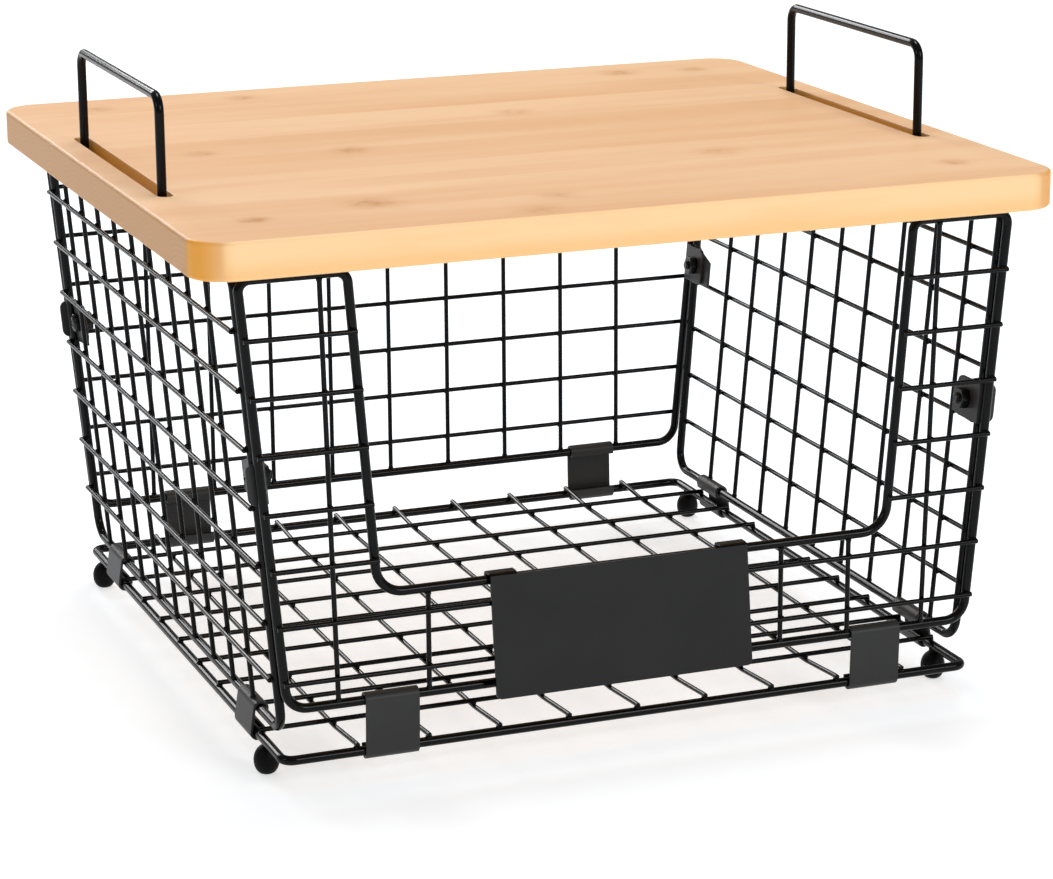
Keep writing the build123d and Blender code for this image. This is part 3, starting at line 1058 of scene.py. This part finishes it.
@dataclass
class JointFasteners:
    """The corner screws, with cross recesses and a cut thread, and their nuts.

    The crown's steps and the turn of each screw's recess are in degrees.
    """

    bench: Bench
    lean: float = math.atan2(13.4, 161.3)
    head: float = 0.0038
    head_height: float = 0.0026
    head_edge: float = 0.0002
    rim: float = 0.0009
    crown_step: int = 10
    crown_points: int = 9
    core: float = 0.00172
    length: float = 0.00695
    tip_share: float = 0.8
    tip_edge: float = 0.0003
    recess_width: float = 0.0010
    recess_span: float = 0.0044
    recess_depth: float = 0.0013
    recess_taper: float = 0.6
    first_turn: int = 25
    next_turn: int = 40
    thread: float = 0.0020
    thread_root: float = 0.0001
    thread_start: float = 0.0002
    pitch: float = 0.0007
    flank: float = 0.4
    threaded: float = 0.0032
    thread_steps: int = 20
    shank_band: float = 0.0001
    nut_edge: float = 0.00035
    nut_steps: int = 2

    def screw_mesh(self) -> bpy.types.Mesh:
        """Build one screw at the origin, its head upwards and its seat at height 0.

        Returns:
            The finished mesh.
        """
        turns = [math.radians(step * self.crown_step) for step in range(self.crown_points)]
        dome = self.head_height - self.rim
        crown = [(self.head * math.cos(t), self.rim + dome * math.sin(t)) for t in turns]
        outline = (
            (0.0, -self.length),
            (self.core * self.tip_share, -self.length),
            (self.core, -self.length + self.tip_edge),
            (self.core, 0.0),
            (self.head - self.head_edge, 0.0),
            (self.head, self.head_edge),
            *crown,
            (0.0, self.head_height),
        )
        body = lathe(outline)
        mesh = bpy.data.meshes.new("screw")
        body.to_mesh(mesh)
        body.free()
        return self.cut(mesh, self.recess_mesh())

    def recess_mesh(self) -> bpy.types.Mesh:
        """Build the cross that is cut into a head, two bars that narrow downwards.

        Returns:
            The cross.
        """
        cutter = bmesh.new()
        above = Matrix.Translation((0, 0, self.head_height))
        narrow, wide, deep = self.recess_width, self.recess_span, 2 * self.recess_depth
        for span, width in ((wide, narrow), (narrow, wide)):
            place = above @ Matrix.Diagonal((span, width, deep, 1.0))
            for corner in bmesh.ops.create_cube(cutter, size=1.0, matrix=place)["verts"]:
                if corner.co.z < self.head_height:
                    corner.co.x *= self.recess_taper
                    corner.co.y *= self.recess_taper
        mesh = bpy.data.meshes.new("recess")
        cutter.to_mesh(mesh)
        cutter.free()
        return mesh

    @staticmethod
    def cut(mesh: bpy.types.Mesh, cutter_mesh: bpy.types.Mesh) -> bpy.types.Mesh:
        """Cut one mesh out of another.

        Args:
            mesh: The mesh to cut.
            cutter_mesh: What is taken away.

        Returns:
            The cut mesh.
        """
        blank = bpy.data.objects.new("blank", mesh)
        tool = bpy.data.objects.new("tool", cutter_mesh)
        for piece in (blank, tool):
            bpy.context.scene.collection.objects.link(piece)
        bite = blank.modifiers.new("bite", "BOOLEAN")
        bite.operation, bite.solver, bite.object, bite.use_self = "DIFFERENCE", "EXACT", tool, True
        bpy.context.view_layer.update()
        seen = blank.evaluated_get(bpy.context.evaluated_depsgraph_get())
        result = bpy.data.meshes.new_from_object(seen)
        for piece in (blank, tool):
            bpy.data.objects.remove(piece)
        return result

    def thread_mesh(self) -> bpy.types.Mesh:
        """Build the ridge of the thread near the screw's end.

        Returns:
            The ridge.
        """
        coil = bmesh.new()
        root = self.core - self.thread_root
        start = -self.length + self.thread_start
        ridge = [
            coil.verts.new((radius, 0.0, start + rise * self.pitch))
            for radius, rise in ((root, 0.0), (self.thread, self.flank), (root, 2 * self.flank))
        ]
        lines = [coil.edges.new(pair) for pair in zip(ridge, ridge[1:])]
        turns = self.threaded / self.pitch
        steps = int(turns * self.thread_steps)
        bmesh.ops.spin(
            coil,
            geom=ridge + lines,
            axis=(0, 0, 1),
            cent=(0, 0, 0),
            dvec=(0, 0, self.threaded / steps),
            angle=math.tau * turns,
            steps=steps,
            use_merge=False,
        )
        bmesh.ops.recalc_face_normals(coil, faces=coil.faces)
        mesh = bpy.data.meshes.new("ridge")
        coil.to_mesh(mesh)
        coil.free()
        return mesh

    def seats(self) -> list[tuple[Vector, Vector]]:
        """Find each screw's seat and the direction that its head faces.

        Returns:
            A place and a direction for each corner.
        """
        shape = self.bench.copy("corner_screws")
        found = []
        for x_sign, y_sign in product((-1, 1), (-1, 1)):
            outward = Vector((x_sign * math.cos(self.lean), 0.0, -math.sin(self.lean)))
            points = [v.co for v in shape.verts if v.co.x * x_sign > 0 and v.co.y * y_sign > 0]
            places = [point.dot(outward) for point in points]
            tip = min(places) + self.shank_band
            shank = [point for point, place in zip(points, places) if place < tip]
            middle = sum(shank, Vector()) / len(shank)
            reach = max(places) - self.head_height - middle.dot(outward)
            found.append((middle + outward * reach, outward))
        shape.free()
        return found

    def build(self) -> None:
        """Build the screws and the nuts."""
        meshes = (self.screw_mesh(), self.thread_mesh())
        shape = bmesh.new()
        for number, (seat, outward) in enumerate(self.seats()):
            turn = outward.to_track_quat("Z", "Y").to_matrix().to_4x4()
            degrees = self.first_turn + self.next_turn * number
            spun = Matrix.Rotation(math.radians(degrees), 4, "Z")
            for mesh in meshes:
                part = mesh.copy()
                part.transform(Matrix.Translation(seat) @ turn @ spun)
                shape.from_mesh(part)
                bpy.data.meshes.remove(part)
        self.bench.add("cross_head_screws", shape, Slot.FASTENER, Body.BASKET, "corner_screws")
        nuts = self.bench.softened("corner_nuts", self.nut_edge, self.nut_steps)
        self.bench.add("hex_nuts", nuts, Slot.FASTENER, Body.BASKET, "corner_nuts")


@dataclass(frozen=True)
class Lamp:
    """One square soft light: its name, its middle, the length of its side and its power."""

    name: str
    place: Place
    side: float
    watts: float


LAMPS = (
    Lamp("overhead_light", (0.3, 0.5, 2.5), 0.8, 32.0),
    Lamp("back_light", (-0.3, 2.6, 1.5), 0.8, 25.0),
    Lamp("back_left_light", (-1.05, 2.7, 1.1), 0.6, 12.0),
    Lamp("front_light", (1.0, -2.4, 1.3), 0.9, 26.0),
    Lamp("side_light", (-2.2, -0.6, 1.2), 0.7, 7.0),
)


@dataclass
class Studio:
    """Pale floor, soft lights and the camera at the photograph's angle.

    The camera's angles are in radians, and its frame is 1053 by 879 pixels.
    """

    azimuth: float = -0.371
    elevation: float = 0.271
    roll: float = -0.006
    eye: Place = (-0.4399, -1.1550, 0.42245)
    focal_pixels: float = 3316.7
    frame_width: int = 1053
    sensor: float = 36.0
    aim: Place = (0.0, 0.0, 0.1)
    lamps: tuple[Lamp, ...] = LAMPS
    sky_strength: float = 0.32
    floor_half: float = 12.0
    paper: Colour = (0.65, 0.69, 0.73, 1.0)
    paper_glow: float = 0.56
    paper_roughness: float = 0.9

    def camera(self) -> None:
        """Create the camera and make it the scene's."""
        lens = bpy.data.cameras.new("camera")
        lens.sensor_width = self.sensor
        lens.sensor_fit = "HORIZONTAL"
        lens.lens = self.focal_pixels * self.sensor / self.frame_width
        camera = bpy.data.objects.new("camera", lens)
        bpy.context.scene.collection.objects.link(camera)
        level = math.cos(self.elevation)
        back = Vector(
            (
                math.sin(self.azimuth) * level,
                -math.cos(self.azimuth) * level,
                math.sin(self.elevation),
            )
        )
        right = Vector((math.cos(self.azimuth), math.sin(self.azimuth), 0.0))
        tilted_right = math.cos(self.roll) * right + math.sin(self.roll) * back.cross(right)
        turn = Matrix((tilted_right, back.cross(tilted_right), back)).transposed()
        camera.matrix_world = Matrix.Translation(self.eye) @ turn.to_4x4()
        bpy.context.scene.camera = camera

    def floor(self) -> None:
        """Lay the pale floor that the bin stands on."""
        mesh = bpy.data.meshes.new("floor")
        shape = bmesh.new()
        bmesh.ops.create_grid(shape, x_segments=1, y_segments=1, size=self.floor_half)
        shape.to_mesh(mesh)
        shape.free()
        floor = bpy.data.objects.new("floor", mesh)
        bpy.context.scene.collection.objects.link(floor)
        paper = NodeTree("floor_paper")
        paper.constant("Base Color", self.paper)
        paper.constant("Emission Color", WHITE)
        paper.constant("Emission Strength", self.paper_glow)
        paper.constant("Roughness", self.paper_roughness)
        paper.constant("Specular IOR Level", 0.0)
        mesh.materials.append(paper.material)

    def light(self, lamp: Lamp) -> None:
        """Hang a soft light that faces the bin.

        Args:
            lamp: The light.
        """
        data = bpy.data.lights.new(lamp.name, "AREA")
        data.size = lamp.side
        data.energy = lamp.watts
        piece = bpy.data.objects.new(lamp.name, data)
        bpy.context.scene.collection.objects.link(piece)
        to_bin = Vector(self.aim) - Vector(lamp.place)
        turn = to_bin.to_track_quat("-Z", "Y").to_matrix().to_4x4()
        piece.matrix_world = Matrix.Translation(lamp.place) @ turn

    def sky(self) -> None:
        """Fill the room with even white light."""
        world = bpy.data.worlds.new("studio")
        world.use_nodes = True
        background = world.node_tree.nodes["Background"]
        background.inputs["Color"].default_value = WHITE
        background.inputs["Strength"].default_value = self.sky_strength
        bpy.context.scene.world = world

    def build(self) -> None:
        """Set up the whole studio."""
        self.floor()
        self.sky()
        for lamp in self.lamps:
            self.light(lamp)
        self.camera()
        bpy.context.scene.view_settings.view_transform = "Standard"


def main() -> None:
    """Build the finishes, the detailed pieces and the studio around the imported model."""
    logging.basicConfig(level=logging.INFO, format="%(name)s: %(message)s")
    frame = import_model()
    finishes = {
        Slot.WIRE: Coating("wire_coat", grey=0.0018, roughness=0.19, gloss=0.13),
        Slot.SHEET: Coating("sheet_coat", grey=0.030, roughness=0.40, gloss=0.18),
        Slot.PLATE: Coating("plate_coat", grey=0.024, roughness=0.60, gloss=0.10),
        Slot.FASTENER: Coating("fastener_black", grey=0.004, roughness=0.25, gloss=0.22),
        Slot.RUBBER: Rubber(),
        Slot.WOOD: BoardWood(),
    }
    bench = Bench(
        nodes=frame["nodes"],
        finishes={slot: finish.material() for slot, finish in finishes.items()},
        slots={row["node"]: row["material_slot"] for row in frame["record"]["subparts"]},
    )
    bench.dress()
    for builder in (SheetParts, LidBoard, DepthWires, WeldBeads, Seams, Feet, JointFasteners):
        builder(bench).build()
    Studio().build()


if __name__ == "__main__":
    main()
